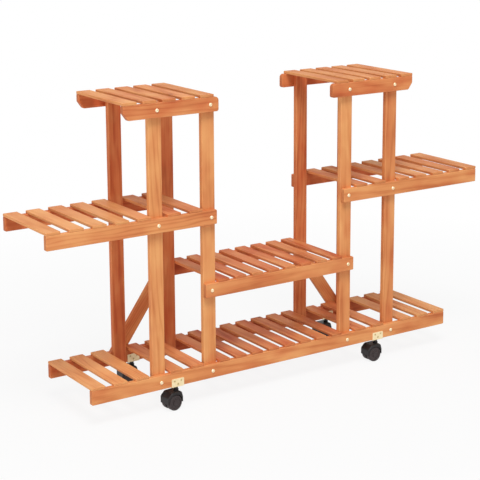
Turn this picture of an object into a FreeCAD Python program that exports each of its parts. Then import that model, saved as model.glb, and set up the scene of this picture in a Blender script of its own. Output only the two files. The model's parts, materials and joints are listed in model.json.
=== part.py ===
import FreeCAD, Part
import math
import os
import Sketcher

# Slatted wooden flower stand on four twin-wheel casters, in millimetres.
# +X runs along the stand, +Y from its open front to its braced back, +Z up from the floor.
# Frames of boards: rails clasp the legs front and back, and slats lie across the rails.

SIZES = {
    # boards
    "frame_depth": 250.0,
    "leg_width": 38.0,
    "leg_thick": 14.0,
    "rail_height": 38.0,
    "rail_thick": 14.0,
    "slat_width": 39.5,
    "centre_slat_width": 34.5,
    "slat_thick": 7.5,
    "arris": 1.5,
    # legs, as distances of their middles from the middle of the stand
    "inner_leg_x": 225.0,
    "outer_leg_x": 383.0,
    # undersides of the rails of each level, above the floor
    "bottom_height": 62.5,
    "centre_height": 284.0,
    "wing_height": 481.0,
    "top_height": 777.0,
    # ends of the rails, as distances from the middle of the stand
    "bottom_end": 585.5,
    "centre_end": 244.0,
    "wing_end": 697.5,
    "wing_inner_end": 208.0,
    "top_left_end": 479.0,
    "top_left_inner_end": 200.0,
    "top_right_end": 447.0,
    "top_right_inner_end": 166.0,
    # shapes of the rail ends
    "end_round": 3.0,
    "nose_cut_length": 14.0,
    "nose_cut_height": 19.0,
    "nose_round": 6.0,
    "lip": 14.5,
    "lip_round": 10.0,
    "lip_low_round": 6.0,
    # slat patterns
    "leg_gap": 1.0,
    "wing_pitch": 63.5,
    "bay_pitch": 65.0,
    "bay_slats": 2,
    "top_slats": 5,
    "centre_slats": 8,
    # braces
    "brace_width": 38.0,
    "brace_thick": 12.0,
    "brace_overrun": 15.0,
    "brace_round": 9.0,
    # bolts
    "bolt_head_dia": 10.0,
    "bolt_head_height": 2.5,
    "bolt_head_round": 1.8,
    "bolt_shank_dia": 6.0,
    "bolt_leg_grip": 11.5,
    "bolt_clearance": 0.1,
    "bolt_tip_gap": 0.2,
    # caster brackets and their screws
    "caster_x": 334.5,
    "bracket_width": 37.0,
    "bracket_thick": 1.5,
    "bracket_rise": 21.5,
    "bracket_reach": 20.0,
    "bracket_round": 3.0,
    "bracket_bend": 1.2,
    "screw_row_high": 15.5,
    "screw_row_low": 7.0,
    "screw_spread": 10.0,
    "screw_head_dia": 5.6,
    "screw_head_height": 0.9,
    "screw_shank_dia": 2.6,
    "screw_grip": 11.0,
    "screw_clearance": 0.1,
    # caster stems
    "stem_offset": 10.0,
    "stem_pin_dia": 8.0,
    "stem_pin_length": 12.0,
    "stem_collar_dia": 11.0,
    "stem_tail_dia": 6.0,
    "stem_tail_sunk": 0.1,
    "swivel_clearance": 0.05,
    "swivel_gap": 0.2,
    # caster hoods
    "hood_width": 36.0,
    "hood_top": 50.0,
    "hood_hem": 20.0,
    "hood_front": 10.5,
    "hood_brow": 6.0,
    "hood_shoulder": 26.0,
    "hood_back": 38.5,
    "hood_back_drop": 12.0,
    "hood_corner": 8.0,
    "hood_edge": 2.5,
    "hood_boss_dia": 14.0,
    "hood_boss_rise": 2.8,
    "hood_web": 6.0,
    "hood_hub_dia": 18.0,
    # caster wheels and axles
    "caster_trail": 14.0,
    "wheel_dia": 42.0,
    "wheel_gap": 1.3,
    "wheel_side_gap": 0.6,
    "wheel_shoulder": 3.0,
    "dish_dia": 30.0,
    "dish_depth": 1.0,
    "axle_dia": 5.0,
    "axle_cover": 2.4,
    "axle_clearance": 0.05,
    "axle_fit": 0.02,
    "front_left_turn": 7.0,
}

doc = FreeCAD.newDocument("flower_stand")
sheet = doc.addObject("Spreadsheet::Sheet", "Sizes")
for row, (alias, number) in enumerate(SIZES.items(), start=1):
    sheet.set(f"A{row}", alias)
    sheet.set(f"B{row}", str(number))
    sheet.setAlias(f"B{row}", alias)
doc.recompute()

nodes = []


def expr(text):
    """Turn words that are cell names into references to the sheet."""
    for word in sorted(SIZES, key=len, reverse=True):
        text = text.replace("{" + word + "}", f"Sizes.{word}")
    return text


def value(text):
    """The number that an expression gives now."""
    return float(sheet.evalExpression(expr(text)))


def bind(feature, prop, text):
    """Tie one property of a feature to the sheet."""
    feature.setExpression(prop, expr(text))


def new_body(name):
    """One sub-part of the stand, in a body of its own."""
    body = doc.addObject("PartDesign::Body", name)
    body.Label = name
    body.AllowCompound = True
    nodes.append(body)
    return body


def place(body, x, y, z, turn=0.0):
    """Stand a body at x, y, z of the stand, turned about the vertical by degrees."""
    upright = FreeCAD.Vector(0, 0, 1)
    spot = FreeCAD.Vector(x, y, z)
    body.Placement = FreeCAD.Placement(spot, FreeCAD.Rotation(upright, turn))


def new_sketch(body, role, level="0"):
    """A sketch on an origin plane of its body, level millimetres along the plane's normal."""
    plane = next(item for item in body.Origin.OriginFeatures if item.Role == role)
    sketch = body.newObject("Sketcher::SketchObject", body.Name + "_sketch")
    sketch.AttachmentSupport = [(plane, "")]
    sketch.MapMode = "FlatFace"
    bind(sketch, "AttachmentOffset.Base.z", level)
    return sketch


def pin(sketch, element, point, across, up):
    """Hold one point of a sketch element at a place given by two expressions."""
    for kind, text in (("DistanceX", across), ("DistanceY", up)):
        rule = Sketcher.Constraint(kind, -1, 1, element, point, value(text))
        number = sketch.addConstraint(rule)
        bind(sketch, f"Constraints[{number}]", text)


def draw_outline(sketch, corners):
    """A closed outline of straight lines through corners, each a pair of expressions."""
    points = [FreeCAD.Vector(value(across), value(up), 0) for across, up in corners]
    count = len(points)
    for index, point in enumerate(points):
        sketch.addGeometry(Part.LineSegment(point, points[(index + 1) % count]), False)
    for index in range(count):
        sketch.addConstraint(Sketcher.Constraint("Coincident", index, 2, (index + 1) % count, 1))
    for index, (across, up) in enumerate(corners):
        pin(sketch, index, 1, across, up)


def draw_circles(sketch, centres, diameter):
    """Circles of one diameter about centres, each a pair of expressions."""
    facing = FreeCAD.Vector(0, 0, 1)
    for across, up in centres:
        centre = FreeCAD.Vector(value(across), value(up), 0)
        circle = sketch.addGeometry(Part.Circle(centre, facing, value(diameter) / 2), False)
        pin(sketch, circle, 3, across, up)
        rule = Sketcher.Constraint("Diameter", circle, value(diameter))
        number = sketch.addConstraint(rule)
        bind(sketch, f"Constraints[{number}]", diameter)


def rectangle(left, right, low, high):
    """Corners of an upright rectangle."""
    return [(left, low), (right, low), (right, high), (left, high)]


def add_pad(body, sketch, length, both_ways=False, backwards=False):
    """Thicken a sketch into a solid."""
    pad = body.newObject("PartDesign::Pad", body.Name + "_pad")
    pad.Profile = sketch
    pad.SideType = "Symmetric" if both_ways else "One side"
    pad.Reversed = backwards
    bind(pad, "Length", length)
    return pad


def cut_pocket(body, sketch, depth, backwards=False):
    """Sink a sketch into a solid, to a depth."""
    pocket = body.newObject("PartDesign::Pocket", body.Name + "_pocket")
    pocket.Profile = sketch
    pocket.Reversed = backwards
    bind(pocket, "Length", depth)
    return pocket


def cut_through(body, sketch):
    """Cut a sketch right through a solid, both ways."""
    pocket = body.newObject("PartDesign::Pocket", body.Name + "_through")
    pocket.Profile = sketch
    pocket.SideType = "Symmetric"
    pocket.Type = "ThroughAll"
    return pocket


def add_revolution(body, sketch, axis):
    """Turn a sketch about one of its own axes."""
    turned = body.newObject("PartDesign::Revolution", body.Name + "_turned")
    turned.Profile = sketch
    turned.ReferenceAxis = (sketch, [axis])
    return turned


def round_all(body, feature, radius):
    """Round every edge of a feature."""
    fillet = body.newObject("PartDesign::Fillet", body.Name + "_fillet")
    fillet.Base = (feature, [""])
    fillet.UseAllEdges = True
    bind(fillet, "Radius", radius)
    return fillet


def round_edges(body, feature, chosen, radius):
    """Round the edges of a feature that the test function chosen picks."""
    doc.recompute()
    names = [f"Edge{index}" for index, edge in enumerate(feature.Shape.Edges, start=1) if chosen(edge)]
    fillet = body.newObject("PartDesign::Fillet", body.Name + "_fillet")
    fillet.Base = (feature, names)
    bind(fillet, "Radius", radius)
    return fillet


def repeat(body, feature, pitch, count):
    """Repeat a whole body along X."""
    pattern = body.newObject("PartDesign::LinearPattern", body.Name + "_pattern")
    pattern.TransformMode = "Whole shape"
    axis = next(item for item in body.Origin.OriginFeatures if item.Role == "X_Axis")
    pattern.Direction = (axis, [""])
    pattern.Mode = "Spacing"
    bind(pattern, "Offset", pitch)
    bind(pattern, "Occurrences", count)
    body.Tip = pattern
    return pattern


NEAR = 0.001


def edge_ends(edge):
    """The two end points of an edge, or twice the same one on a closed edge."""
    return [edge.Vertexes[0].Point, edge.Vertexes[-1].Point]


def runs_through(edge, across, up):
    """True for an edge along Y at the place across, up."""
    return all(abs(end.x - across) < NEAR and abs(end.z - up) < NEAR for end in edge_ends(edge))


def lies_on_face(edge, levels):
    """True for an edge that lies in one of the planes across Y at levels."""
    return any(all(abs(end.y - level) < NEAR for end in edge_ends(edge)) for level in levels)


# The stand's own box is centred on the origin: its front is the turned caster's hood, its back the
# brace bolts or the back casters, so the frame of boards sits a little off the middle in Y.
def hood_reach(turn):
    """How far a caster's hood stands out in front of its stem, when turned by degrees."""
    angle = math.radians(turn)
    edge = value("{hood_edge}")
    ahead = (value("{hood_back}") - edge) * math.sin(angle)
    beside = (value("{hood_width}") / 2 - edge) * math.cos(angle)
    return ahead + beside + edge


front_reach = value("{frame_depth} / 2 - {stem_offset}") + hood_reach(value("{front_left_turn}"))
back_stem = value("{frame_depth} / 2 - {rail_thick} + {stem_offset}")
back_brace = value("{frame_depth} / 2 + {brace_thick} + {bolt_head_height}")
back_reach = max(back_stem + hood_reach(0.0), back_brace)
middle_y = (front_reach - back_reach) / 2
front_face = middle_y - value("{frame_depth} / 2")
back_face = middle_y + value("{frame_depth} / 2")

LEGS = {
    "outer_left": "-{outer_leg_x}",
    "inner_left": "-{inner_leg_x}",
    "inner_right": "{inner_leg_x}",
    "outer_right": "{outer_leg_x}",
}
LEVELS = ("bottom", "centre", "wing", "top")


def bolt_height(level):
    """Height of the bolts of a level: the middle of its rails."""
    return f"({{{level}_height}} + {{rail_height}} / 2)"


def levels_of(leg):
    """Levels whose rails cross a leg."""
    return [level for level in LEVELS if level != "centre" or leg.startswith("inner")]


# ---- legs ---------------------------------------------------------------------------------------

LEG_HOLE_DIA = "({bolt_shank_dia} + 2 * {bolt_clearance})"


def make_leg(row, leg):
    """A leg from the bottom rails' underside to the top slats, with a blind hole for each bolt."""
    body = new_body(f"leg_{row}_{leg}")
    sketch = new_sketch(body, "XY_Plane")
    draw_outline(sketch, rectangle("-{leg_width} / 2", "{leg_width} / 2", "0", "{leg_thick}"))
    board = add_pad(body, sketch, "{top_height} + {rail_height} - {bottom_height}")
    round_all(body, board, "{arris}")
    holes = new_sketch(body, "XZ_Plane")
    centres = [("0", bolt_height(level) + " - {bottom_height}") for level in levels_of(leg)]
    draw_circles(holes, centres, LEG_HOLE_DIA)
    cut_pocket(body, holes, "{bolt_leg_grip} + {bolt_tip_gap}")
    foot = value("{bottom_height}")
    if row == "front":
        place(body, value(LEGS[leg]), front_face + value("{rail_thick}"), foot)
    else:
        place(body, value(LEGS[leg]), back_face - value("{rail_thick}"), foot, 180.0)


# ---- rails --------------------------------------------------------------------------------------

RAILS = {
    # name: level, left end, right end, side whose end is cut to a nose, or none
    "bottom": ("bottom", "-{bottom_end}", "{bottom_end}", None),
    "centre": ("centre", "-{centre_end}", "{centre_end}", None),
    "wing_left": ("wing", "-{wing_end}", "-{wing_inner_end}", None),
    "wing_right": ("wing", "{wing_inner_end}", "{wing_end}", None),
    "top_left": ("top", "-{top_left_end}", "-{top_left_inner_end}", "left"),
    "top_right": ("top", "{top_right_inner_end}", "{top_right_end}", "right"),
}
SCREW_SPOTS = (
    ("-{screw_spread}", "{screw_row_high}"),
    ("{screw_spread}", "{screw_row_high}"),
    ("0", "{screw_row_low}"),
)


def screw_centres():
    """Places of the bracket screws of one side of the stand, above the bottom rails' underside."""
    return [(f"{side}{{caster_x}} + {across}", up) for side in ("-", "") for across, up in SCREW_SPOTS]


def rail_outline(left, right, nose):
    """Corners of a rail, and its corner rounds as pairs of a place and a radius."""
    corners = rectangle(left, right, "0", "{rail_height}")
    if nose is None:
        return corners, [(corner, "{end_round}") for corner in corners]
    if nose == "left":
        cut = [(f"{left} + {{nose_cut_length}}", "0"), (left, "{nose_cut_height}")]
        square_end, tail_low, tail_top = corners[3], corners[1], corners[2]
        corners = [cut[0], tail_low, tail_top, square_end, cut[1]]
    else:
        cut = [(f"{right} - {{nose_cut_length}}", "0"), (right, "{nose_cut_height}")]
        square_end, tail_low, tail_top = corners[2], corners[0], corners[3]
        corners = [tail_low, cut[0], cut[1], square_end, tail_top]
    rounds = [(spot, "{nose_round}") for spot in cut]
    rounds += [(square_end, "{end_round}"), (tail_low, "{lip_low_round}"), (tail_top, "{lip_round}")]
    return corners, rounds


def rail_bolts(left, right, level):
    """Bolt places of a rail: every leg that it crosses."""
    low, high = value(left), value(right)
    crossed = [leg for leg, across in LEGS.items() if low < value(across) < high]
    return [(LEGS[leg], "{rail_height} / 2") for leg in crossed if level in levels_of(leg)]


def make_rail(row, name):
    """A rail on the outer faces of a row of legs."""
    level, left, right, nose = RAILS[name]
    is_front = row == "front"
    body = new_body(f"rail_{row}_{name}")
    sketch = new_sketch(body, "XZ_Plane")
    corners, rounds = rail_outline(left, right, nose)
    draw_outline(sketch, corners)
    board = add_pad(body, sketch, "{rail_thick}", backwards=is_front)
    for radius in dict.fromkeys(radius for spot, radius in rounds):
        spots = [(value(spot[0]), value(spot[1])) for spot, size in rounds if size == radius]
        board = round_edges(
            body, board, lambda edge: any(runs_through(edge, *spot) for spot in spots), radius
        )
    inner_level = value("{rail_thick}") * (1 if is_front else -1)
    round_edges(body, board, lambda edge: lies_on_face(edge, (0.0, inner_level)), "{arris}")
    holes = new_sketch(body, "XZ_Plane")
    draw_circles(holes, rail_bolts(left, right, level), LEG_HOLE_DIA)
    cut_through(body, holes)
    if name == "bottom":
        pilots = new_sketch(body, "XZ_Plane", "0" if is_front else "{rail_thick}")
        draw_circles(pilots, screw_centres(), "{screw_shank_dia} + 2 * {screw_clearance}")
        cut_pocket(body, pilots, "{screw_grip} + {bolt_tip_gap}")
    place(body, 0.0, front_face if is_front else back_face, value(f"{{{level}_height}}"))


# ---- slats --------------------------------------------------------------------------------------

INNER_BAY = "({inner_leg_x} - {leg_width} / 2)"
LEG_BAY_MIDDLE = "(({inner_leg_x} + {outer_leg_x}) / 2)"
BAY_SPAN = "(({bay_slats} - 1) * {bay_pitch} + {slat_width})"
CENTRE_ROOM = f"(2 * ({INNER_BAY} - {{leg_gap}}) - {{centre_slat_width}})"
CENTRE_PITCH = f"{CENTRE_ROOM} / ({{centre_slats}} - 1)"


def outside_count(end):
    """How many slats fit from a rail's end to the outer leg."""
    room = f"({end} - {{outer_leg_x}} - {{leg_width}} / 2 - {{leg_gap}} - {{slat_width}})"
    return f"floor({room} / {{wing_pitch}}) + 1"


def outside_span(end):
    """Length covered by the slats outside the outer leg."""
    return f"(({outside_count(end)} - 1) * {{wing_pitch}} + {{slat_width}})"


def top_pitch(end, inner_end):
    """Pitch of a top shelf: slats from the nose to a lip's length short of the inner end."""
    return f"({end} - {inner_end} - {{lip}} - {{slat_width}}) / ({{top_slats}} - 1)"


SLATS = {
    # name: level, width of a slat, left edge of the first slat, pitch, count
    "top_left": ("top", "{slat_width}", "-{top_left_end}",
                 top_pitch("{top_left_end}", "{top_left_inner_end}"), "{top_slats}"),
    "top_right": ("top", "{slat_width}", "{top_right_inner_end} + {lip}",
                  top_pitch("{top_right_end}", "{top_right_inner_end}"), "{top_slats}"),
    "wing_left": ("wing", "{slat_width}", "-{wing_end}", "{wing_pitch}", outside_count("{wing_end}")),
    "wing_right": ("wing", "{slat_width}", "{wing_end} - " + outside_span("{wing_end}"),
                   "{wing_pitch}", outside_count("{wing_end}")),
    "wing_bay_left": ("wing", "{slat_width}", f"-{LEG_BAY_MIDDLE} - {BAY_SPAN} / 2",
                      "{bay_pitch}", "{bay_slats}"),
    "wing_bay_right": ("wing", "{slat_width}", f"{LEG_BAY_MIDDLE} - {BAY_SPAN} / 2",
                       "{bay_pitch}", "{bay_slats}"),
    "centre": ("centre", "{centre_slat_width}", f"-{INNER_BAY} + {{leg_gap}}",
               CENTRE_PITCH, "{centre_slats}"),
    "bottom_centre": ("bottom", "{centre_slat_width}", f"-{INNER_BAY} + {{leg_gap}}",
                      CENTRE_PITCH, "{centre_slats}"),
    "bottom_left": ("bottom", "{slat_width}", "-{bottom_end}", "{wing_pitch}",
                    outside_count("{bottom_end}")),
    "bottom_right": ("bottom", "{slat_width}", "{bottom_end} - " + outside_span("{bottom_end}"),
                     "{wing_pitch}", outside_count("{bottom_end}")),
    "bottom_bay_left": ("bottom", "{slat_width}", f"-{LEG_BAY_MIDDLE} - {BAY_SPAN} / 2",
                        "{bay_pitch}", "{bay_slats}"),
    "bottom_bay_right": ("bottom", "{slat_width}", f"{LEG_BAY_MIDDLE} - {BAY_SPAN} / 2",
                         "{bay_pitch}", "{bay_slats}"),
}


def make_slats(name):
    """A row of slats that lie across the rails of a level, from face to face of the frame."""
    level, width, start, pitch, count = SLATS[name]
    body = new_body(f"slats_{name}")
    sketch = new_sketch(body, "XY_Plane")
    draw_outline(sketch, rectangle("0", width, "-{frame_depth} / 2", "{frame_depth} / 2"))
    board = add_pad(body, sketch, "{slat_thick}")
    rounded = round_all(body, board, "{arris}")
    repeat(body, rounded, pitch, count)
    place(body, value(start), middle_y, value(f"{{{level}_height}} + {{rail_height}}"))


# ---- braces -------------------------------------------------------------------------------------

BRACE_RUN = "({outer_leg_x} - {inner_leg_x})"
BRACE_RISE = "({centre_height} - {bottom_height})"
BRACE_SPAN = f"sqrt({BRACE_RUN}^2 + {BRACE_RISE}^2)"


def make_brace(side):
    """A slanting board on the rails' back faces, from an outer leg's foot to the centre shelf."""
    body = new_body(f"brace_{side}")
    sketch = new_sketch(body, "XZ_Plane")
    ends = rectangle("-{brace_overrun}", BRACE_SPAN + " + {brace_overrun}",
                     "-{brace_width} / 2", "{brace_width} / 2")
    draw_outline(sketch, ends)
    board = add_pad(body, sketch, "{brace_thick}", backwards=True)
    spots = [(value(across), value(up)) for across, up in ends]
    board = round_edges(
        body, board, lambda edge: any(runs_through(edge, *spot) for spot in spots), "{brace_round}"
    )
    faces = (0.0, value("{brace_thick}"))
    round_edges(body, board, lambda edge: lies_on_face(edge, faces), "{arris}")
    holes = new_sketch(body, "XZ_Plane")
    draw_circles(holes, [("0", "0"), (BRACE_SPAN, "0")], LEG_HOLE_DIA)
    cut_through(body, holes)
    slope = math.degrees(math.atan2(value(BRACE_RISE), value(BRACE_RUN)))
    turn = slope if side == "left" else 180.0 - slope
    foot = FreeCAD.Vector(value(LEGS[f"outer_{side}"]), back_face, value(bolt_height("bottom")))
    body.Placement = FreeCAD.Placement(foot, FreeCAD.Rotation(FreeCAD.Vector(0, -1, 0), turn))


# ---- bolts --------------------------------------------------------------------------------------

BRACE_BOLTS = [("outer_left", "bottom"), ("outer_right", "bottom"),
               ("inner_left", "centre"), ("inner_right", "centre")]
ALL_BOLTS = [(leg, level) for leg in LEGS for level in levels_of(leg)]


def make_bolts(name, crossings, grip, face, turn):
    """Round-headed bolts through the rails into the legs, at crossings of a leg and a level."""
    body = new_body(name)
    centres = [(LEGS[leg], bolt_height(level)) for leg, level in crossings]
    heads = new_sketch(body, "XZ_Plane")
    draw_circles(heads, centres, "{bolt_head_dia}")
    head = add_pad(body, heads, "{bolt_head_height}")
    crown = value("-{bolt_head_height}")
    round_edges(body, head, lambda edge: lies_on_face(edge, (crown,)), "{bolt_head_round}")
    shanks = new_sketch(body, "XZ_Plane")
    draw_circles(shanks, centres, "{bolt_shank_dia}")
    add_pad(body, shanks, grip, backwards=True)
    place(body, 0.0, face, 0.0, turn)


# ---- casters ------------------------------------------------------------------------------------

CASTERS = {
    # name: side of the stand, row, turn about the stem
    "front_left": (-1, "front", "{front_left_turn}"),
    "front_right": (1, "front", "0"),
    "back_left": (-1, "back", "0"),
    "back_right": (1, "back", "0"),
}
WHEEL_RADIUS = "({wheel_dia} / 2)"
COLLAR_FOOT = "({hood_top} + {hood_boss_rise} + {swivel_gap})"
PIN_FOOT = f"({COLLAR_FOOT} - {{stem_pin_length}})"
BORE_END = "({hood_width} / 2 - {dish_depth} - {axle_cover})"


def bracket_face(row):
    """The rail face that carries the brackets: outer on the front rail, inner on the back rail."""
    return front_face if row == "front" else back_face - value("{rail_thick}")


def make_bracket(name, side, row):
    """An angle plate: one leg on the bottom rail's face, the other under the rail."""
    body = new_body(f"caster_bracket_{name}")
    sketch = new_sketch(body, "YZ_Plane")
    draw_outline(sketch, [
        ("-{bracket_thick}", "-{bracket_thick}"),
        ("{bracket_reach}", "-{bracket_thick}"),
        ("{bracket_reach}", "0"),
        ("0", "0"),
        ("0", "{bracket_rise}"),
        ("-{bracket_thick}", "{bracket_rise}"),
    ])
    plate = add_pad(body, sketch, "{bracket_width}", both_ways=True)
    top, edge_x = value("{bracket_rise}"), value("{bracket_width} / 2")
    plate = round_edges(
        body, plate,
        lambda edge: runs_through(edge, edge_x, top) or runs_through(edge, -edge_x, top),
        "{bracket_round}",
    )
    back = value("-{bracket_thick}")
    round_edges(
        body, plate,
        lambda edge: all(abs(end.y - back) < NEAR and abs(end.z - back) < NEAR for end in edge_ends(edge)),
        "{bracket_bend}",
    )
    stem_hole = new_sketch(body, "XY_Plane")
    draw_circles(stem_hole, [("0", "{stem_offset}")], "{stem_tail_dia} + 2 * {bolt_clearance}")
    cut_through(body, stem_hole)
    screw_holes = new_sketch(body, "XZ_Plane")
    draw_circles(screw_holes, SCREW_SPOTS, "{screw_shank_dia} + 2 * {screw_clearance}")
    cut_through(body, screw_holes)
    place(body, side * value("{caster_x}"), bracket_face(row), value("{bottom_height}"))


def make_plate_screws(row):
    """The pan-headed screws of a row's two brackets."""
    body = new_body(f"plate_screws_{row}")
    heads = new_sketch(body, "XZ_Plane", "{bracket_thick}")
    draw_circles(heads, screw_centres(), "{screw_head_dia}")
    add_pad(body, heads, "{screw_head_height}")
    shanks = new_sketch(body, "XZ_Plane", "{bracket_thick}")
    draw_circles(shanks, screw_centres(), "{screw_shank_dia}")
    add_pad(body, shanks, "{screw_grip} + {bracket_thick}", backwards=True)
    place(body, 0.0, bracket_face(row), value("{bottom_height}"))


def make_stem(name, x, y):
    """A riveted stem: tail in the bracket, collar down to the boss and a pin for the hood."""
    body = new_body(f"caster_stem_{name}")
    sketch = new_sketch(body, "XZ_Plane")
    plate_foot = "({bottom_height} - {bracket_thick})"
    tail_top = "({bottom_height} - {stem_tail_sunk})"
    draw_outline(sketch, [
        ("0", PIN_FOOT),
        ("{stem_pin_dia} / 2", PIN_FOOT),
        ("{stem_pin_dia} / 2", COLLAR_FOOT),
        ("{stem_collar_dia} / 2", COLLAR_FOOT),
        ("{stem_collar_dia} / 2", plate_foot),
        ("{stem_tail_dia} / 2", plate_foot),
        ("{stem_tail_dia} / 2", tail_top),
        ("0", tail_top),
    ])
    add_revolution(body, sketch, "V_Axis")
    place(body, x, y, 0.0)


def make_hood(name, x, y, turn):
    """The caster's body: a hood over both wheels, a web between them and a boss for the stem."""
    body = new_body(f"caster_hood_{name}")
    shell = new_sketch(body, "XZ_Plane")
    corners = [
        ("{hood_front}", "{hood_hem}"),
        ("{hood_front}", "{hood_top} - 2 * {hood_corner}"),
        ("{hood_brow}", "{hood_top}"),
        ("-{hood_shoulder}", "{hood_top}"),
        ("-{hood_back}", "{hood_top} - {hood_back_drop}"),
        ("-{hood_back}", "{hood_hem}"),
    ]
    draw_outline(shell, corners)
    hood = add_pad(body, shell, "{hood_width}", both_ways=True)
    spots = [(value(across), value(up)) for across, up in corners[1:5]]
    hood = round_edges(
        body, hood, lambda edge: any(runs_through(edge, *spot) for spot in spots), "{hood_corner}"
    )
    side = value("{hood_width} / 2")
    hem = value("{hood_hem}")

    def on_side(edge):
        above_hem = any(end.z > hem + NEAR for end in edge_ends(edge))
        return above_hem and lies_on_face(edge, (-side, side))

    round_edges(body, hood, on_side, "{hood_edge}")
    for level, backwards in (("{hood_web} / 2", True), ("-{hood_web} / 2", False)):
        space = new_sketch(body, "XZ_Plane", level)
        draw_circles(space, [("-{caster_trail}", WHEEL_RADIUS)], "{wheel_dia} + 2 * {wheel_gap}")
        cut_pocket(body, space, "{hood_width}", backwards)
    hub = new_sketch(body, "XZ_Plane")
    draw_circles(hub, [("-{caster_trail}", WHEEL_RADIUS)], "{hood_hub_dia}")
    add_pad(body, hub, "{hood_web}", both_ways=True)
    boss = new_sketch(body, "XY_Plane", PIN_FOOT)
    draw_circles(boss, [("0", "0")], "{hood_boss_dia}")
    add_pad(body, boss, "{stem_pin_length} - {swivel_gap}")
    bore = new_sketch(body, "XY_Plane", COLLAR_FOOT)
    draw_circles(bore, [("0", "0")], "{stem_pin_dia} + 2 * {swivel_clearance}")
    cut_pocket(body, bore, "{stem_pin_length} + {swivel_gap}")
    axle_bore = new_sketch(body, "XZ_Plane")
    draw_circles(axle_bore, [("-{caster_trail}", WHEEL_RADIUS)], "{axle_dia} + 2 * {axle_clearance}")
    cut_through(body, axle_bore)
    place(body, x, y, 0.0, turn)


def make_wheels(name, x, y, turn):
    """Twin wheels, each with a rounded tread, a dished outer face and a blind bore for the axle."""
    body = new_body(f"caster_wheels_{name}")
    inner_face = "({hood_web} / 2 + {wheel_side_gap})"
    outer_face = "({hood_width} / 2)"
    dish_floor = "({hood_width} / 2 - {dish_depth})"
    bore_radius = "({axle_dia} / 2 + {axle_fit})"
    sketch = new_sketch(body, "YZ_Plane")
    draw_outline(sketch, [
        (inner_face, bore_radius),
        (BORE_END, bore_radius),
        (BORE_END, "0"),
        (dish_floor, "0"),
        (dish_floor, "{dish_dia} / 2"),
        (outer_face, "{dish_dia} / 2"),
        (outer_face, WHEEL_RADIUS),
        (inner_face, WHEEL_RADIUS),
    ])
    wheel = add_revolution(body, sketch, "H_Axis")
    tread = value(WHEEL_RADIUS)

    def on_tread(edge):
        return all(abs(math.hypot(end.x, end.z) - tread) < NEAR for end in edge_ends(edge)) and edge.Closed

    round_edges(body, wheel, on_tread, "{wheel_shoulder}")
    doc.recompute()
    mirror = body.newObject("PartDesign::Mirrored", body.Name + "_pair")
    mirror.TransformMode = "Whole shape"
    plane = next(item for item in body.Origin.OriginFeatures if item.Role == "XZ_Plane")
    mirror.MirrorPlane = (plane, [""])
    body.Tip = mirror
    place(body, x, y, value(WHEEL_RADIUS), turn)


def make_axle(name, x, y, turn):
    """The axle that joins the two wheels through the hood's web."""
    body = new_body(f"caster_axle_{name}")
    sketch = new_sketch(body, "XZ_Plane")
    draw_circles(sketch, [("0", "0")], "{axle_dia}")
    add_pad(body, sketch, f"2 * ({BORE_END} - {{bolt_tip_gap}})", both_ways=True)
    place(body, x, y, value(WHEEL_RADIUS), turn)


def make_caster(name):
    """One caster, from the bracket down to the wheels."""
    side, row, turn_text = CASTERS[name]
    turn = value(turn_text)
    stem_x = side * value("{caster_x}")
    stem_y = bracket_face(row) + value("{stem_offset}")
    trail = value("{caster_trail}")
    wheel_x = stem_x - trail * math.cos(math.radians(turn))
    wheel_y = stem_y - trail * math.sin(math.radians(turn))
    make_bracket(name, side, row)
    make_stem(name, stem_x, stem_y)
    make_hood(name, stem_x, stem_y, turn)
    make_wheels(name, wheel_x, wheel_y, turn)
    make_axle(name, wheel_x, wheel_y, turn)


# ---- the whole stand ----------------------------------------------------------------------------

for row_name in ("front", "back"):
    for leg_name in LEGS:
        make_leg(row_name, leg_name)
    for rail_name in RAILS:
        make_rail(row_name, rail_name)
    make_plate_screws(row_name)
for slats_name in SLATS:
    make_slats(slats_name)
make_brace("left")
make_brace("right")
SHORT_GRIP = "{rail_thick} + {bolt_leg_grip}"
BACK_BOLTS = [spot for spot in ALL_BOLTS if spot not in BRACE_BOLTS]
make_bolts("bolts_front", ALL_BOLTS, SHORT_GRIP, front_face, 0.0)
make_bolts("bolts_back", BACK_BOLTS, SHORT_GRIP, back_face, 180.0)
brace_face = back_face + value("{brace_thick}")
make_bolts("bolts_brace", BRACE_BOLTS, "{brace_thick} + " + SHORT_GRIP, brace_face, 180.0)
for caster_name in CASTERS:
    make_caster(caster_name)

doc.recompute()
faulty = [item.Name for item in doc.Objects if {"Invalid", "Error"} & set(item.State)]
faulty += [body.Label for body in nodes if body.Shape.isNull() or not body.Shape.isValid()]
if faulty:
    raise RuntimeError("failed: " + ", ".join(faulty))
os.makedirs("parts", exist_ok=True)
for body in nodes:
    body.Shape.exportStep(f"parts/{body.Label}.step")
print(len(nodes), "nodes,", sum(len(body.Shape.Solids) for body in nodes), "solids")
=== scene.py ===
import json
import math
import random

import bmesh
import bpy
from mathutils import Matrix, Vector


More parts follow.
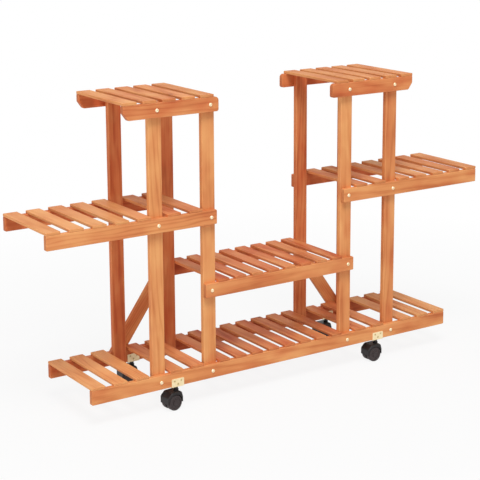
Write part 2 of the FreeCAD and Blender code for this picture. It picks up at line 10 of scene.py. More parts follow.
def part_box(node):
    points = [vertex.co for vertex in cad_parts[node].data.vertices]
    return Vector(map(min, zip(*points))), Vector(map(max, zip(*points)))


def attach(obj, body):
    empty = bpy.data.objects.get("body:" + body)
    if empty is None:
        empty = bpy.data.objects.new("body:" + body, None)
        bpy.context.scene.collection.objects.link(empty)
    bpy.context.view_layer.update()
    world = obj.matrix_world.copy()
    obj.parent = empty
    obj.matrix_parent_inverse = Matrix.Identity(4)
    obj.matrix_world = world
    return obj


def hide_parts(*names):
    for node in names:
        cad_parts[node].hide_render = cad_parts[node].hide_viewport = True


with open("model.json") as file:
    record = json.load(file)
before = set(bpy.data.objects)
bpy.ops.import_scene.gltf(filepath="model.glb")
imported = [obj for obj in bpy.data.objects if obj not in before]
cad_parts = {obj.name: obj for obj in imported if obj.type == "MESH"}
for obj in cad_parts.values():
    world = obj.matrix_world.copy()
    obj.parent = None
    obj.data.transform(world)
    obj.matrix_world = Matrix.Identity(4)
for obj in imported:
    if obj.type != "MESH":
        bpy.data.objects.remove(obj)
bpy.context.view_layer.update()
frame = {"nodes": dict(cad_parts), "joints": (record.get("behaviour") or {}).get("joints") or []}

MM = 0.001

# ---- colours, as sRGB ------------------------------------------------------------------------------

# light, middle and dark of the wood's figure, for a honey stain and for a redder, darker one that boards in
# shade also take as painted shade
HONEY = ((0.930, 0.668, 0.425), (0.890, 0.598, 0.366), (0.790, 0.465, 0.268))
RUSSET_AND_SHADE = ((0.860, 0.500, 0.300), (0.785, 0.395, 0.225), (0.650, 0.280, 0.150))
WOOD_END = (0.640, 0.360, 0.210)
WOOD_WORN = (0.930, 0.700, 0.490)
KNOT = (0.500, 0.240, 0.130)
# each metal and plastic has its own colour, and a duller or dusty one
PLATING = (0.995, 0.930, 0.760)
PLATING_DULL = (0.970, 0.880, 0.680)
BOLT_PLATING = (0.985, 0.930, 0.800)
BOLT_DULL = (0.900, 0.800, 0.600)
SCREW_PLATING = (0.860, 0.780, 0.570)
SCREW_DULL = (0.720, 0.620, 0.430)
STEM_BLACK = (0.150, 0.135, 0.135)
STEM_DULL = (0.260, 0.240, 0.235)
HOOD_BLACK = (0.105, 0.085, 0.085)
HOOD_DUSTY = (0.195, 0.165, 0.163)
WHEEL_BLACK = (0.205, 0.165, 0.165)
WHEEL_DUSTY = (0.300, 0.258, 0.252)
FLOOR_COLOUR = (0.900, 0.900, 0.900)

# how far each board's colour goes from honey to russet: partly the board's own stain, partly painted shade,
# higher on the back frame, on the slats under the shelves and towards the right, where less light falls
SHADE_AND_STAIN_REDNESS = {
    "leg_front_outer_left": 0.08,
    "leg_front_inner_left": 0.12,
    "leg_front_inner_right": 0.18,
    "leg_front_outer_right": 0.42,
    "leg_back": 0.96,
    "leg_back_inner": 0.85,
    "rail_front_top": 0.66,
    "rail_front_centre": 0.42,
    "rail_front": 0.30,
    "rail_back": 0.98,
    "brace": 0.45,
    "slats_wing_left": 0.10,
    "slats_bottom_left": 0.0,
    "slats_top": 0.24,
    "slats_wing_right": 0.40,
    "slats_bottom_right": 0.05,
    "slats_bottom_centre": 0.70,
    "slats_centre": 0.66,
    "slats_bottom_bay": 0.55,
    "slats_wing_bay": 0.35,
}


def linear(colour):
    """Linear RGBA of an sRGB colour."""
    parts = [c / 12.92 if c <= 0.04045 else ((c + 0.055) / 1.055) ** 2.4 for c in colour]
    return (*parts, 1.0)


# ---- node graphs -----------------------------------------------------------------------------------

SOCKETS = {
    "base_color": "Base Color",
    "roughness": "Roughness",
    "metallic": "Metallic",
    "coat_weight": "Coat Weight",
    "coat_roughness": "Coat Roughness",
    "specular": "Specular IOR Level",
}
# the values that a noise mostly lies between
NOISE_LOW = 0.3
NOISE_HIGH = 0.7


class Graph:
    """A material's nodes, with short calls for the ones that are used often."""

    def __init__(self, name):
        self.material = bpy.data.materials.new(name)
        self.material.use_nodes = True
        self.tree = self.material.node_tree
        self.tree.nodes.clear()
        self.output = self.add("ShaderNodeOutputMaterial")
        self.shader = self.add("ShaderNodeBsdfPrincipled")
        self.link(self.shader.outputs[0], self.output.inputs["Surface"])

    def add(self, kind, **settings):
        node = self.tree.nodes.new(kind)
        for key, setting in settings.items():
            setattr(node, key, setting)
        return node

    def link(self, source, target):
        self.tree.links.new(source, target)

    def feed(self, socket, source):
        """Link a socket, or set its value."""
        if isinstance(source, bpy.types.NodeSocket):
            self.link(source, socket)
        else:
            socket.default_value = source

    def place(self):
        """The point's own coordinates, in metres."""
        return self.add("ShaderNodeTexCoord").outputs["Object"]

    def math(self, operation, *sources):
        node = self.add("ShaderNodeMath", operation=operation)
        for socket, source in zip(node.inputs, sources):
            self.feed(socket, source)
        return node.outputs[0]

    def plus(self, *sources):
        total = sources[0]
        for source in sources[1:]:
            total = self.math("ADD", total, source)
        return total

    def minus(self, first, second):
        return self.math("SUBTRACT", first, second)

    def times(self, first, second):
        return self.math("MULTIPLY", first, second)

    def size(self, source):
        return self.math("ABSOLUTE", source)

    def hypotenuse(self, first, second):
        return self.math("SQRT", self.plus(self.times(first, first), self.times(second, second)))

    def combine(self, x, y, z):
        node = self.add("ShaderNodeCombineXYZ")
        for socket, source in zip(node.inputs, (x, y, z)):
            self.feed(socket, source)
        return node.outputs[0]

    def separate(self, vector):
        node = self.add("ShaderNodeSeparateXYZ")
        self.link(vector, node.inputs[0])
        return list(node.outputs)

    def noise(self, vector, scale=1.0, detail=2.0, rough=0.5, distortion=0.0):
        node = self.add("ShaderNodeTexNoise")
        self.link(vector, node.inputs["Vector"])
        for key, number in (("Scale", scale), ("Detail", detail), ("Roughness", rough),
                            ("Distortion", distortion)):
            node.inputs[key].default_value = number
        return node.outputs[0]

    def stretched_noise(self, spot, scales, **settings):
        """Noise at a spot of three coordinates, with a scale of its own, per metre, for each."""
        scaled = [self.times(source, scale) for source, scale in zip(spot, scales)]
        return self.noise(self.combine(*scaled), **settings)

    def ramp(self, source, low, high, to_low=0.0, to_high=1.0):
        """A clamped straight ramp between two values."""
        node = self.add("ShaderNodeMapRange")
        for socket, number in zip(node.inputs, (source, low, high, to_low, to_high)):
            self.feed(socket, number)
        return node.outputs[0]

    def swing(self, noise, to_low, to_high):
        """A noise spread over the values from to_low to to_high."""
        return self.ramp(noise, NOISE_LOW, NOISE_HIGH, to_low, to_high)

    def mix(self, factor, first, second, blend="MIX"):
        node = self.add("ShaderNodeMix", data_type="RGBA", blend_type=blend)
        self.feed(node.inputs["Factor"], factor)
        colours = [socket for socket in node.inputs if socket.type == "RGBA"]
        self.feed(colours[0], first)
        self.feed(colours[1], second)
        return next(socket for socket in node.outputs if socket.type == "RGBA")

    def bump(self, height, strength, distance):
        node = self.add("ShaderNodeBump")
        node.inputs["Strength"].default_value = strength
        node.inputs["Distance"].default_value = distance
        self.link(height, node.inputs["Height"])
        self.link(node.outputs[0], self.shader.inputs["Normal"])

    def surface(self, **sources):
        for name, source in sources.items():
            self.feed(self.shader.inputs[SOCKETS[name]], source)


# ---- wood ------------------------------------------------------------------------------------------

ALONG, ACROSS, THROUGH = range(3)
# index of the axis along the grain, across the board's face and through the board
AXES = {"X": (0, 2, 1), "Y": (1, 0, 2), "Z": (2, 0, 1)}
GRAINS = {"leg_": "Z", "rail_": "X", "brace_": "X", "slats_": "Y"}
END_FACING = (0.55, 0.85)

# what each board or slat draws by lot: shifts in metres, a tone that dims or brightens it
RUN_SHIFT = 9.0
BOARD_RING_SHIFT = 0.035
SLAT_RING_SHIFT = 0.05
BOARD_TONES = (0.97, 1.03)
SLAT_TONES = (0.93, 1.05)
SLAT_REDNESS = 0.14
LOTS = 50

# the rings: their middle lies behind the board, on a line that leans along it
RING_SPACING = 5.5 * MM
RING_DEPTHS = (0.035, 0.060)
RING_LEANS = (0.010, 0.028)
RING_WANDER = 0.030
RING_WOBBLE = 0.005
RING_SHARPNESS = 3.0

# scales of each noise along, across and through the board, per metre
WANDER_SCALES = (3.5, 20.0, 1.0)
WOBBLE_SCALES = (4.0, 60.0, 1.0)
BROAD_SCALES = (2.2, 70.0, 70.0)
FIBRE_SCALES = (7.0, 620.0, 620.0)
CLOUD_SCALES = (5.0, 14.0, 1.0)
PATCH_SCALES = (11.0, 26.0, 1.0)
RUBBING_SCALES = (45.0, 1.0, 1.0)
STREAKY = {"detail": 3.0, "rough": 0.55}

# what each adds to the shade or to the redness
SHADE_BASE = 0.08
RING_SHADE = 0.24
BROAD_SHADE = 0.52
FIBRE_SHADE = 0.10
CLOUD_SHADE = 0.24
PATCH_REDNESS = 0.28
# the shades at which the figure is light, middle and dark
SHADE_STEPS = (0.15, 0.50, 0.90)

# knots lie in cells, and only some cells have one
KNOTS_ALONG = 4.6
KNOTS_ACROSS = 8.0
KNOTLESS_SHARE = 0.78
KNOT_EDGE = (0.018, 0.048)
HALO_EDGE = (0.03, 0.14)

# how much of the last colour each of these leaves on the wood
HALO_SHARE = 0.30
KNOT_SHARE = 0.75
BOARD_END_SHARE = 0.35
SLAT_END_SHARE = 0.12
WORN_SHARE = 0.45
WORN_WIDTH = 2.0 * MM
RUBBED = (0.30, 0.65)

LACQUER_ROUGHNESS = (0.52, 0.68)
LACQUER = {"coat_weight": 0.04, "coat_roughness": 0.35, "specular": 0.20}


def shell_boxes(node):
    """Lowest and highest corners of each loose part of a CAD node, left to right."""
    shells = bmesh.new()
    shells.from_mesh(frame["nodes"][node].data)
    bmesh.ops.remove_doubles(shells, verts=shells.verts, dist=1e-6)
    boxes = []
    waiting = set(shells.verts)
    while waiting:
        front = [waiting.pop()]
        spots = []
        while front:
            vert = front.pop()
            spots.append(vert.co.copy())
            fresh = {edge.other_vert(vert) for edge in vert.link_edges} & waiting
            waiting -= fresh
            front.extend(fresh)
        low = Vector(min(spot[axis] for spot in spots) for axis in range(3))
        high = Vector(max(spot[axis] for spot in spots) for axis in range(3))
        boxes.append((low, high))
    shells.free()
    return sorted(boxes, key=lambda box: (round(box[0].x, 4), box[0].z))


class Board:
    """What one wooden node's pattern needs: its grain's axis, its corners and its own dice."""

    def __init__(self, node, grain, slope, rows):
        self.low, self.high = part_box(node)
        self.name = node
        self.axes = AXES[grain]
        self.slope = slope
        self.rows = rows
        self.dice = random.Random(node)

    def start(self, which):
        return self.low[self.axes[which]]

    def span(self, which):
        axis = self.axes[which]
        return self.high[axis] - self.low[axis]

    def middle(self, which):
        axis = self.axes[which]
        return (self.high[axis] + self.low[axis]) / 2


def board_coordinates(graph, board):
    """Place along the grain, across and through the board, and how far a face is an end."""
    source = graph.add("ShaderNodeTexCoord")
    vectors = [source.outputs["Object"], source.outputs["Normal"]]
    if board.slope:
        for index, vector in enumerate(vectors):
            turn = graph.add("ShaderNodeVectorRotate", rotation_type="Y_AXIS")
            graph.link(vector, turn.inputs["Vector"])
            turn.inputs["Angle"].default_value = board.slope
            vectors[index] = turn.outputs[0]
    place, facing = (graph.separate(vector) for vector in vectors)
    end = graph.ramp(graph.size(facing[board.axes[ALONG]]), *END_FACING)
    return [place[axis] for axis in board.axes], end


def slat_lot(graph, board, across, pitch, width):
    """For a row of slats: place across one slat, and three numbers that each slat draws."""
    fringe = (pitch - width) / 2
    offset = graph.minus(across, board.start(ACROSS) - fringe)
    index = graph.math("FLOOR", graph.math("DIVIDE", offset, pitch))
    local = graph.minus(graph.minus(offset, graph.times(index, pitch)), pitch / 2)
    lot = graph.add("ShaderNodeTexWhiteNoise", noise_dimensions="1D")
    graph.link(graph.plus(index, board.dice.uniform(0, LOTS)), lot.inputs["W"])
    return local, graph.separate(lot.outputs["Color"])


def growth_rings(graph, board, spot, ring_shift):
    """Late wood of circles about a slightly leaning line beside the board, from 0 to 1."""
    run, local, through = spot
    depth = board.dice.uniform(*RING_DEPTHS)
    lean = board.dice.uniform(*RING_LEANS) * board.dice.choice((-1, 1))
    wander = graph.times(graph.stretched_noise(spot, WANDER_SCALES), RING_WANDER)
    sideways = graph.plus(local, ring_shift, wander)
    inward = graph.plus(through, graph.times(run, lean), depth)
    wobble = graph.times(graph.stretched_noise(spot, WOBBLE_SCALES), RING_WOBBLE)
    radius = graph.plus(graph.hypotenuse(sideways, inward), wobble)
    wave = graph.math("SINE", graph.times(radius, 2 * math.pi / RING_SPACING))
    return graph.math("POWER", graph.ramp(wave, -1.0, 1.0), RING_SHARPNESS)


def knots(graph, run, local):
    """A few knots, as (the knot, the halo round it)."""
    cells = graph.add("ShaderNodeTexVoronoi", voronoi_dimensions="2D")
    place = graph.combine(graph.times(run, KNOTS_ALONG), graph.times(local, KNOTS_ACROSS), 0.0)
    graph.link(place, cells.inputs["Vector"])
    cells.inputs["Scale"].default_value = 1.0
    drawn = graph.math("GREATER_THAN", graph.separate(cells.outputs["Color"])[0], KNOTLESS_SHARE)
    distance = cells.outputs["Distance"]
    return [graph.times(graph.ramp(distance, *edge, 1.0, 0.0), drawn) for edge in (KNOT_EDGE, HALO_EDGE)]


def worn_edge(graph, board, spot, width):
    """1 along the board's long edges where handling has rubbed the stain, from 0."""
    local, through = spot[ACROSS], spot[THROUGH]
    gap_across = graph.minus(width / 2, graph.size(local))
    from_middle = graph.size(graph.minus(through, board.middle(THROUGH)))
    gap_through = graph.minus(board.span(THROUGH) / 2, from_middle)
    gap = graph.math("MAXIMUM", gap_across, gap_through)
    rub = graph.stretched_noise(spot, RUBBING_SCALES, detail=3.0, rough=0.7)
    return graph.times(graph.ramp(gap, 0.0, WORN_WIDTH, 1.0, 0.0), graph.ramp(rub, *RUBBED))


def stain_colour(graph, shade, redness):
    """The figure's colour for a shade from 0, light, to 1, dark, and a redness from 0 to 1."""
    light, middle, dark = (graph.mix(redness, linear(honey), linear(russet))
                           for honey, russet in zip(HONEY, RUSSET_AND_SHADE))
    lighter = graph.mix(graph.ramp(shade, SHADE_STEPS[0], SHADE_STEPS[1]), light, middle)
    return graph.mix(graph.ramp(shade, SHADE_STEPS[1], SHADE_STEPS[2]), lighter, dark)


def wood(board, redness):
    """Stained softwood: rings, fibres, a few knots, darker ends and rubbed edges."""
    graph = Graph(board.name + "_wood")
    (along, across, through), end = board_coordinates(graph, board)
    if board.rows:
        slats = shell_boxes(board.name)
        width = slats[0][1].x - slats[0][0].x
        pitch = (board.span(ACROSS) - width) / (len(slats) - 1)
        local, lot = slat_lot(graph, board, across, pitch, width)
        run = graph.plus(along, graph.times(lot[1], RUN_SHIFT))
        ring_shift = graph.ramp(lot[2], 0.0, 1.0, -SLAT_RING_SHIFT, SLAT_RING_SHIFT)
        tone = graph.ramp(lot[0], 0.0, 1.0, *SLAT_TONES)
        least = max(redness - SLAT_REDNESS, 0.0)
        redness = graph.ramp(lot[1], 0.0, 1.0, least, redness + SLAT_REDNESS)
    else:
        width = board.span(ACROSS)
        run = graph.plus(along, board.dice.uniform(0.0, RUN_SHIFT))
        ring_shift = board.dice.uniform(-BOARD_RING_SHIFT, BOARD_RING_SHIFT)
        tone = board.dice.uniform(*BOARD_TONES)
        local = across if board.slope else graph.minus(across, board.middle(ACROSS))
    spot = (run, local, through)
    rings = growth_rings(graph, board, spot, ring_shift)
    broad = graph.stretched_noise(spot, BROAD_SCALES, **STREAKY)
    fibres = graph.stretched_noise(spot, FIBRE_SCALES, **STREAKY)
    cloud = graph.stretched_noise(spot, CLOUD_SCALES)
    shade = graph.plus(graph.times(rings, RING_SHADE), graph.times(broad, BROAD_SHADE), SHADE_BASE,
                       graph.swing(fibres, -FIBRE_SHADE, FIBRE_SHADE),
                       graph.swing(cloud, -CLOUD_SHADE, CLOUD_SHADE))
    patch = graph.stretched_noise(spot, PATCH_SCALES)
    # the redness from the table holds painted shade for boards that lie in shade; the patches add the
    # stain's own blotches
    redness = graph.plus(redness, graph.swing(patch, -PATCH_REDNESS, PATCH_REDNESS))
    colour = stain_colour(graph, shade, redness)
    knot, halo = knots(graph, run, local)
    colour = graph.mix(graph.times(halo, HALO_SHARE), colour, linear(RUSSET_AND_SHADE[2]))
    colour = graph.mix(graph.times(knot, KNOT_SHARE), colour, linear(KNOT))
    end_share = SLAT_END_SHARE if board.rows else BOARD_END_SHARE
    colour = graph.mix(graph.times(end, end_share), colour, linear(WOOD_END))
    if not board.slope:
        edge = worn_edge(graph, board, spot, width)
        colour = graph.mix(graph.times(edge, WORN_SHARE), colour, linear(WOOD_WORN))
    colour = graph.mix(1.0, colour, graph.combine(tone, tone, tone), "MULTIPLY")
    graph.surface(base_color=colour, roughness=graph.ramp(shade, 0.0, 1.0, *LACQUER_ROUGHNESS), **LACQUER)
    relief = graph.plus(graph.times(fibres, 0.5), graph.times(rings, 0.35), graph.times(knot, -0.5))
    graph.bump(relief, 0.35, 0.5 * MM)
    return graph.material


# ---- metal and plastic -----------------------------------------------------------------------------

CLOUDING = {"scale": 120.0, "detail": 4.0, "rough": 0.6, "distortion": 0.4}
CLOUDED = (0.40, 0.75)
SCRATCH_SCALES = (120.0, 1.0, 1500.0)
SCRATCHED = (0.4, 0.7)
PEBBLE_SCALE = 1900.0
SCUFFING = {"scale": 260.0, "detail": 5.0, "rough": 0.65, "distortion": 1.2}
SCUFFED = (0.42, 0.70)
# dust's share at the floor, and from the height where it is least
DUST_HEIGHT = 45 * MM
DUST_SHARES = (0.75, 0.15)


def plated(name, colour, dull, roughness, metallic=0.55):
    """Plated or painted steel with faint clouding and fine scratches."""
    graph = Graph(name)
    place = graph.place()
    cloud = graph.noise(place, **CLOUDING)
    scratch = graph.stretched_noise(graph.separate(place), SCRATCH_SCALES, detail=3.0, rough=0.7)
    base = graph.mix(graph.ramp(cloud, *CLOUDED), linear(colour), linear(dull))
    rough = graph.plus(graph.swing(cloud, roughness - 0.08, roughness + 0.10),
                       graph.ramp(scratch, *SCRATCHED, 0.0, 0.08))
    graph.surface(base_color=base, metallic=metallic, roughness=rough, specular=0.5)
    graph.bump(scratch, 0.12, 0.1 * MM)
    return graph.material


def plastic(name, colour, dusty, roughness):
    """Moulded plastic: fine grain, dust and scuffs towards the floor."""
    graph = Graph(name)
    place = graph.place()
    pebble = graph.noise(place, PEBBLE_SCALE)
    scuff = graph.noise(place, **SCUFFING)
    height = graph.separate(place)[2]
    dust = graph.times(graph.ramp(height, 0.0, DUST_HEIGHT, *DUST_SHARES), graph.ramp(scuff, *SCUFFED))
    base = graph.mix(dust, linear(colour), linear(dusty))
    graph.surface(base_color=base, specular=0.35, roughness=graph.swing(scuff, roughness, roughness + 0.16))
    graph.bump(pebble, 0.18, 0.12 * MM)
    return graph.material


# ---- turned meshes ---------------------------------------------------------------------------------

def add_lathe(mesh, rings, place):
    """
    Add a closed turned body to a bmesh. Each ring is a list of (radius, angle, height) points, and
    place turns its axis, +Z, into the scene.
    """
    loops = []
    for ring in rings:
        spots = [Vector((r * math.cos(a), r * math.sin(a), h)) for r, a, h in ring]
        loops.append([mesh.verts.new(place @ spot) for spot in spots])
    count = len(loops[0])
    for lower, upper in zip(loops, loops[1:]):
        for index in range(count):
            after = (index + 1) % count
            mesh.faces.new((lower[index], lower[after], upper[after], upper[index]))
    mesh.faces.new(list(reversed(loops[0])))
    mesh.faces.new(loops[-1])


def even_angles(count):
    return [2 * math.pi * step / count for step in range(count)]


def from_nearest(angle, step):
    """How far an angle is from the nearest multiple of a step."""
    return (angle + step / 2) % step - step / 2


def round_ring(radius, height, count):
    return [(radius, angle, height) for angle in even_angles(count)]


def hexagon_ring(across_flats, height, count):
    """Points of a hexagon at even angles."""
    flat = math.pi / 3
    return [(across_flats / 2 / math.cos(from_nearest(angle, flat)), angle, height)
            for angle in even_angles(count)]


def cross_ring(reach, width, height, count):
    """Points of a cross with four blunt arms at even angles."""
    ring = []
    for angle in even_angles(count):
        from_arm = abs(from_nearest(angle, math.pi / 2))
        flank = width / 2 / max(math.sin(from_arm), 1e-6)
        ring.append((min(reach / math.cos(from_arm), flank), angle, height))
    return ring


def finish_piece(name, mesh, material, body, nodes, smooth_angle=35.0):
    """Turn a bmesh into a scene piece that stands for CAD nodes and rides on their body."""
    bmesh.ops.recalc_face_normals(mesh, faces=mesh.faces)
    for face in mesh.faces:
        face.smooth = True
    for edge in mesh.edges:
        edge.smooth = edge.calc_face_angle(math.pi) < math.radians(smooth_angle)
    data = bpy.data.meshes.new(name)
    mesh.to_mesh(data)
    mesh.free()
    data.materials.append(material)
    piece = bpy.data.objects.new(name, data)
    bpy.context.scene.collection.objects.link(piece)
    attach(piece, body)
    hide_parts(*nodes)
    return piece


# ---- bolts and screws ------------------------------------------------------------------------------

FASTENER_SIDES = 48
DOME_STEPS = 6
DOME_POWER = 0.85
BOLT_HEAD_RADIUS = 5.0 * MM
BOLT_HEAD_HEIGHT = 2.5 * MM
BOLT_SHANK_RADIUS = 3.0 * MM
BOLT_RIM = 0.5 * MM
BOLT_LIP = 0.15 * MM
BOLT_KEY = 4.0 * MM
BOLT_KEY_ROUND = 2.75 * MM
BOLT_KEY_DEPTH = 1.7 * MM
BOLT_KEY_CONE = 1.15 * BOLT_KEY_DEPTH
SCREW_HEAD_RADIUS = 2.8 * MM
SCREW_HEAD_HEIGHT = 0.9 * MM
SCREW_SHANK_RADIUS = 1.3 * MM
SCREW_RIM = 0.3 * MM
SCREW_TIP_RADIUS = SCREW_SHANK_RADIUS * 0.25
SCREW_TIP_LENGTH = 3 * MM
SCREW_CROSS_REACH = 1.55 * MM
SCREW_CROSS_ROUND = SCREW_CROSS_REACH * 1.12
SCREW_CROSS_WIDTH = 0.65 * MM
SCREW_CROSS_DEPTH = 0.6 * MM


def dome_rings(outer, inner, rim, top, count):
    """Rings of a domed head from its rim up to the edge of its drive hole."""
    rings = [
        round_ring(outer - 0.1 * rim, 0.0, count),
        round_ring(outer, 0.2 * rim, count),
        round_ring(outer, rim, count),
    ]
    for step in range(1, DOME_STEPS + 1):
        share = step / DOME_STEPS
        radius = outer + (inner - outer) * share
        height = rim + (top - rim) * math.sin(share * math.pi / 2) ** DOME_POWER
        rings.append(round_ring(radius, height, count))
    return rings


def bolt_rings(shank):
    """A bolt from its tip to the floor of its hexagonal key hole, with the head's foot at 0."""
    sides = FASTENER_SIDES
    return [
        round_ring(BOLT_SHANK_RADIUS, -shank, sides),
        round_ring(BOLT_SHANK_RADIUS, 0.0, sides),
        *dome_rings(BOLT_HEAD_RADIUS, BOLT_KEY_ROUND, BOLT_RIM, BOLT_HEAD_HEIGHT, sides),
        hexagon_ring(BOLT_KEY, BOLT_HEAD_HEIGHT - BOLT_LIP, sides),
        hexagon_ring(BOLT_KEY, BOLT_HEAD_HEIGHT - BOLT_KEY_DEPTH, sides),
        hexagon_ring(BOLT_KEY * 0.3, BOLT_HEAD_HEIGHT - BOLT_KEY_CONE, sides),
    ]


def screw_rings(shank):
    """A pan-headed screw from its tip to the floor of its cross, with the head's foot at 0."""
    sides = FASTENER_SIDES
    floor = SCREW_HEAD_HEIGHT - SCREW_CROSS_DEPTH
    return [
        round_ring(SCREW_TIP_RADIUS, -shank, sides),
        round_ring(SCREW_SHANK_RADIUS, SCREW_TIP_LENGTH - shank, sides),
        round_ring(SCREW_SHANK_RADIUS, 0.0, sides),
        *dome_rings(SCREW_HEAD_RADIUS, SCREW_CROSS_ROUND, SCREW_RIM, SCREW_HEAD_HEIGHT, sides),
        cross_ring(SCREW_CROSS_REACH, SCREW_CROSS_WIDTH, SCREW_HEAD_HEIGHT, sides),
        cross_ring(SCREW_CROSS_REACH * 0.75, SCREW_CROSS_WIDTH * 0.8, floor, sides),
    ]


def make_fasteners(node, rings_of, head_height, outward, material):
    """A new fastener at each one of a CAD node, with its head towards outward, -1 or 1 along Y."""
    mesh = bmesh.new()
    dice = random.Random(node)
    for low, high in shell_boxes(node):
        foot = low.y + head_height if outward < 0 else high.y - head_height
        shank = high.y - low.y - head_height
        upright = Matrix.Rotation(-outward * math.pi / 2, 4, "X")
        spin = Matrix.Rotation(dice.uniform(0, math.pi), 4, "Z")
        spot = Matrix.Translation(((low.x + high.x) / 2, foot, (low.z + high.z) / 2))
        add_lathe(mesh, rings_of(shank), spot @ upright @ spin)
    finish_piece(node + "_domed", mesh, material, "stand_frame", [node])


# ---- wheels ----------------------------------------------------------------------------------------

WHEEL_SIDES = 96
WHEEL_INNER_FACE = 3.6 * MM
WHEEL_OUTER_FACE = 18.0 * MM
# corners of the profile as (radius, depth) in mm: from the bore to the tread, under the inner face;
# from the groove in the tread to the rim, and from the hub's edge to its cap, under the outer face
WHEEL_INNER_SIDE = ((2.6, 0.0), (16.0, 0.0), (19.2, 0.5), (20.4, 1.4), (21.0, 3.0))
WHEEL_OUTER_SIDE = ((21.0, 8.2), (20.6, 7.9), (20.6, 7.3), (21.0, 7.0), (21.0, 3.0), (20.6, 1.6),
                    (19.6, 0.6), (18.2, 0.1), (17.2, 0.0), (16.0, 0.1), (15.4, 0.5), (15.0, 1.5))
WHEEL_HUB = ((7.6, 1.6), (7.4, 0.5), (6.9, 0.2), (5.4, 0.1), (5.0, 0.5), (4.6, 0.5), (4.0, 0.2), (1.5, 0.05))
WHEEL_SPOKES = 6
SPOKE_RADII = (14.4, 11.5, 9.0)
SPOKE_DEPTH = 1.7 * MM
SPOKE_LIFT = 0.9 * MM
# the cosine over a spoke's angle at which its flank starts and ends
SPOKE_FLANK = (0.45, 0.75)


def spoked_ring(radius, height):
    """A ring of a wheel's side that rises over each spoke."""
    ring = []
    start, end = SPOKE_FLANK
    for angle in even_angles(WHEEL_SIDES):
        rise = (math.cos(angle * WHEEL_SPOKES) - start) / (end - start)
        ring.append((radius, angle, height + SPOKE_LIFT * min(max(rise, 0.0), 1.0)))
    return ring


def wheel_rings():
    """One wheel from its inner face to its hub cap: tread with a groove, rim, spokes and hub."""
    face = WHEEL_OUTER_FACE
    inner = [(radius, WHEEL_INNER_FACE + depth * MM) for radius, depth in WHEEL_INNER_SIDE]
    outer = [(radius, face - depth * MM) for radius, depth in WHEEL_OUTER_SIDE]
    hub = [(radius, face - depth * MM) for radius, depth in WHEEL_HUB]
    return [
        *[round_ring(radius * MM, height, WHEEL_SIDES) for radius, height in inner + outer],
        *[spoked_ring(radius * MM, face - SPOKE_DEPTH) for radius in SPOKE_RADII],
        *[round_ring(radius * MM, height, WHEEL_SIDES) for radius, height in hub],
    ]


def make_wheels(caster, joint, material):
    """A caster's twin wheels about its rolling joint."""
    node = "caster_wheels_" + caster
    axis = Vector(joint["axis"]).normalized()
    middle = Matrix.Translation(joint["pos_m"])
    mesh = bmesh.new()
    for side in (-1, 1):
        turn = (axis * side).to_track_quat("Z", "Y").to_matrix().to_4x4()
        add_lathe(mesh, wheel_rings(), middle @ turn)
    finish_piece(node + "_spoked", mesh, material, "wheels_" + caster, [node], 30.0)


# ---- finish of the CAD nodes -----------------------------------------------------------------------

def dress(node, material):
    """Give a CAD node one material in all its slots."""
    piece = frame["nodes"][node]
    if not piece.material_slots:
        piece.data.materials.append(material)
    for slot in piece.material_slots:
        slot.material = material


def redness_of(node):
    """The table's entry with the longest name that starts the node's own."""
    keys = [key for key in SHADE_AND_STAIN_REDNESS if node.startswith(key)]
    return SHADE_AND_STAIN_REDNESS[max(keys, key=len)]


def brace_slope(node):
    """The angle that turns a slanting board's grain into X."""
    low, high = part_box(node)
    rise, run = high.z - low.z, high.x - low.x
    return math.atan2(rise, run) * (1 if node.endswith("left") else -1)


def dress_boards():
    """Wood on every leg, rail, slat and brace, along its own grain."""
    for node in frame["nodes"]:
        for start, grain in GRAINS.items():
            if node.startswith(start):
                slope = brace_slope(node) if start == "brace_" else 0.0
                board = Board(node, grain, slope, rows=start == "slats_")
                dress(node, wood(board, redness_of(node)))


def dress_casters(bracket, hood, stem):
    """Metal and plastic on the casters' CAD nodes."""
    finishes = {
        "caster_bracket": bracket,
        "caster_stem": stem,
        "caster_hood": hood,
        "caster_axle": stem,
    }
    for node in frame["nodes"]:
        for start, material in finishes.items():
            if node.startswith(start):
                dress(node, material)


# ---- floor, light and camera -----------------------------------------------------------------------

FLOOR_HALF = 20.0
# the floor's share of white, and the distances from the stand between which it grows
GLOW_SHARES = (0.88, 1.0)
GLOW_REACH = (0.8, 2.0)
AMBIENT = 0.36
# name, place, target, side in metres and power in watts
LAMPS = (
    ("key", (-1.5, -2.7, 5.6), (0.0, 0.0, 0.4), 2.4, 240.0),
    ("front", (0.7, -5.0, 1.6), (0.0, 0.0, 0.4), 2.5, 28.0),
    ("left", (-5.0, -0.6, 0.9), (0.0, 0.0, 0.5), 1.4, 52.0),
)

# fitted to the photograph's frame
IMAGE_SIDE = 480
SENSOR = 36.0
FOCAL_PIXELS = 1398.0
CAMERA_PLACE = (-2.111, -3.100, 1.364)
CAMERA_YAW = math.radians(33.59)
CAMERA_PITCH = math.radians(11.57)
CAMERA_ROLL = math.radians(0.31)
CAMERA_SHIFT = (0.0, -0.16)


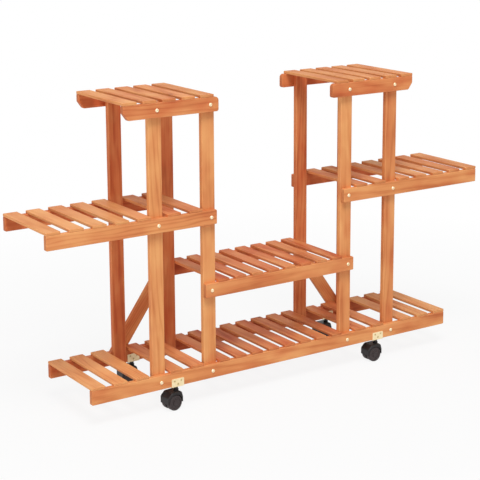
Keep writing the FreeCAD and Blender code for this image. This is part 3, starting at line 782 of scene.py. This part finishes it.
def make_floor():
    """A pale floor that keeps the stand's shadow and meets the white background."""
    graph = Graph("floor_paint")
    graph.surface(base_color=linear(FLOOR_COLOUR), roughness=0.9, specular=0.1)
    x, y, _ = graph.separate(graph.place())
    glow_share = graph.ramp(graph.hypotenuse(x, y), *GLOW_REACH, *GLOW_SHARES)
    glow = graph.add("ShaderNodeEmission")
    rays = graph.add("ShaderNodeLightPath")
    blend = graph.add("ShaderNodeMixShader")
    bounced = graph.math("MAXIMUM", rays.outputs["Is Glossy Ray"], rays.outputs["Is Transmission Ray"])
    seen = graph.math("MAXIMUM", rays.outputs["Is Camera Ray"], bounced)
    graph.link(graph.times(seen, glow_share), blend.inputs[0])
    graph.link(graph.shader.outputs[0], blend.inputs[1])
    graph.link(glow.outputs[0], blend.inputs[2])
    graph.link(blend.outputs[0], graph.output.inputs["Surface"])
    half = FLOOR_HALF
    corners = [(-half, -half, 0), (half, -half, 0), (half, half, 0), (-half, half, 0)]
    mesh = bpy.data.meshes.new("floor")
    mesh.from_pydata(corners, [], [(0, 1, 2, 3)])
    mesh.materials.append(graph.material)
    floor = bpy.data.objects.new("floor", mesh)
    bpy.context.scene.collection.objects.link(floor)


def make_world():
    """White behind the stand for the camera and for reflections, softer light on it."""
    world = bpy.data.worlds.new("studio")
    bpy.context.scene.world = world
    world.use_nodes = True
    tree = world.node_tree
    tree.nodes.clear()
    output = tree.nodes.new("ShaderNodeOutputWorld")
    background = tree.nodes.new("ShaderNodeBackground")
    background.inputs["Color"].default_value = (1.0, 1.0, 1.0, 1.0)
    rays = tree.nodes.new("ShaderNodeLightPath")
    seen = rays.outputs["Is Camera Ray"]
    for name in ("Is Glossy Ray", "Is Transmission Ray"):
        either = tree.nodes.new("ShaderNodeMath")
        either.operation = "MAXIMUM"
        tree.links.new(seen, either.inputs[0])
        tree.links.new(rays.outputs[name], either.inputs[1])
        seen = either.outputs[0]
    strength = tree.nodes.new("ShaderNodeMapRange")
    tree.links.new(seen, strength.inputs[0])
    strength.inputs["To Min"].default_value = AMBIENT
    strength.inputs["To Max"].default_value = 1.0
    tree.links.new(strength.outputs[0], background.inputs["Strength"])
    tree.links.new(background.outputs[0], output.inputs["Surface"])


def make_lamp(name, place, target, side, power):
    """A square soft lamp aimed at a point."""
    light = bpy.data.lights.new(name, "AREA")
    light.shape = "SQUARE"
    light.size = side
    light.energy = power
    lamp = bpy.data.objects.new(name, light)
    lamp.location = place
    lamp.rotation_euler = (Vector(target) - Vector(place)).to_track_quat("-Z", "Y").to_euler()
    bpy.context.scene.collection.objects.link(lamp)


def make_camera():
    """The photograph's camera."""
    data = bpy.data.cameras.new("camera")
    data.sensor_width = SENSOR
    data.lens = FOCAL_PIXELS / IMAGE_SIDE * SENSOR
    data.shift_x, data.shift_y = CAMERA_SHIFT
    data.clip_end = 100.0
    camera = bpy.data.objects.new("camera", data)
    camera.location = CAMERA_PLACE
    level = Matrix.Rotation(math.pi / 2 - CAMERA_PITCH, 4, "X")
    roll = Matrix.Rotation(-CAMERA_ROLL, 4, "Z")
    camera.rotation_euler = (Matrix.Rotation(-CAMERA_YAW, 4, "Z") @ level @ roll).to_euler()
    bpy.context.scene.collection.objects.link(camera)
    bpy.context.scene.camera = camera


# ---- the whole scene -------------------------------------------------------------------------------

dress_boards()
bracket_plating = plated("plating", PLATING, PLATING_DULL, 0.36, 0.30)
bolt_plating = plated("bolt_plating", BOLT_PLATING, BOLT_DULL, 0.30, 0.50)
screw_plating = plated("screw_plating", SCREW_PLATING, SCREW_DULL, 0.40)
hood_plastic = plastic("hood_plastic", HOOD_BLACK, HOOD_DUSTY, 0.34)
stem_paint = plated("stem_paint", STEM_BLACK, STEM_DULL, 0.36, 0.30)
wheel_plastic = plastic("wheel_plastic", WHEEL_BLACK, WHEEL_DUSTY, 0.40)
dress_casters(bracket_plating, hood_plastic, stem_paint)
for bolts, outward in (("bolts_front", -1), ("bolts_back", 1), ("bolts_brace", 1)):
    make_fasteners(bolts, bolt_rings, BOLT_HEAD_HEIGHT, outward, bolt_plating)
for screws in ("plate_screws_front", "plate_screws_back"):
    make_fasteners(screws, screw_rings, SCREW_HEAD_HEIGHT, -1, screw_plating)
for joint in frame["joints"]:
    if joint["name"].startswith("roll_"):
        make_wheels(joint["name"].removeprefix("roll_"), joint, wheel_plastic)
make_floor()
make_world()
for lamp in LAMPS:
    make_lamp(*lamp)
make_camera()
bpy.context.scene.view_settings.view_transform = "Standard"
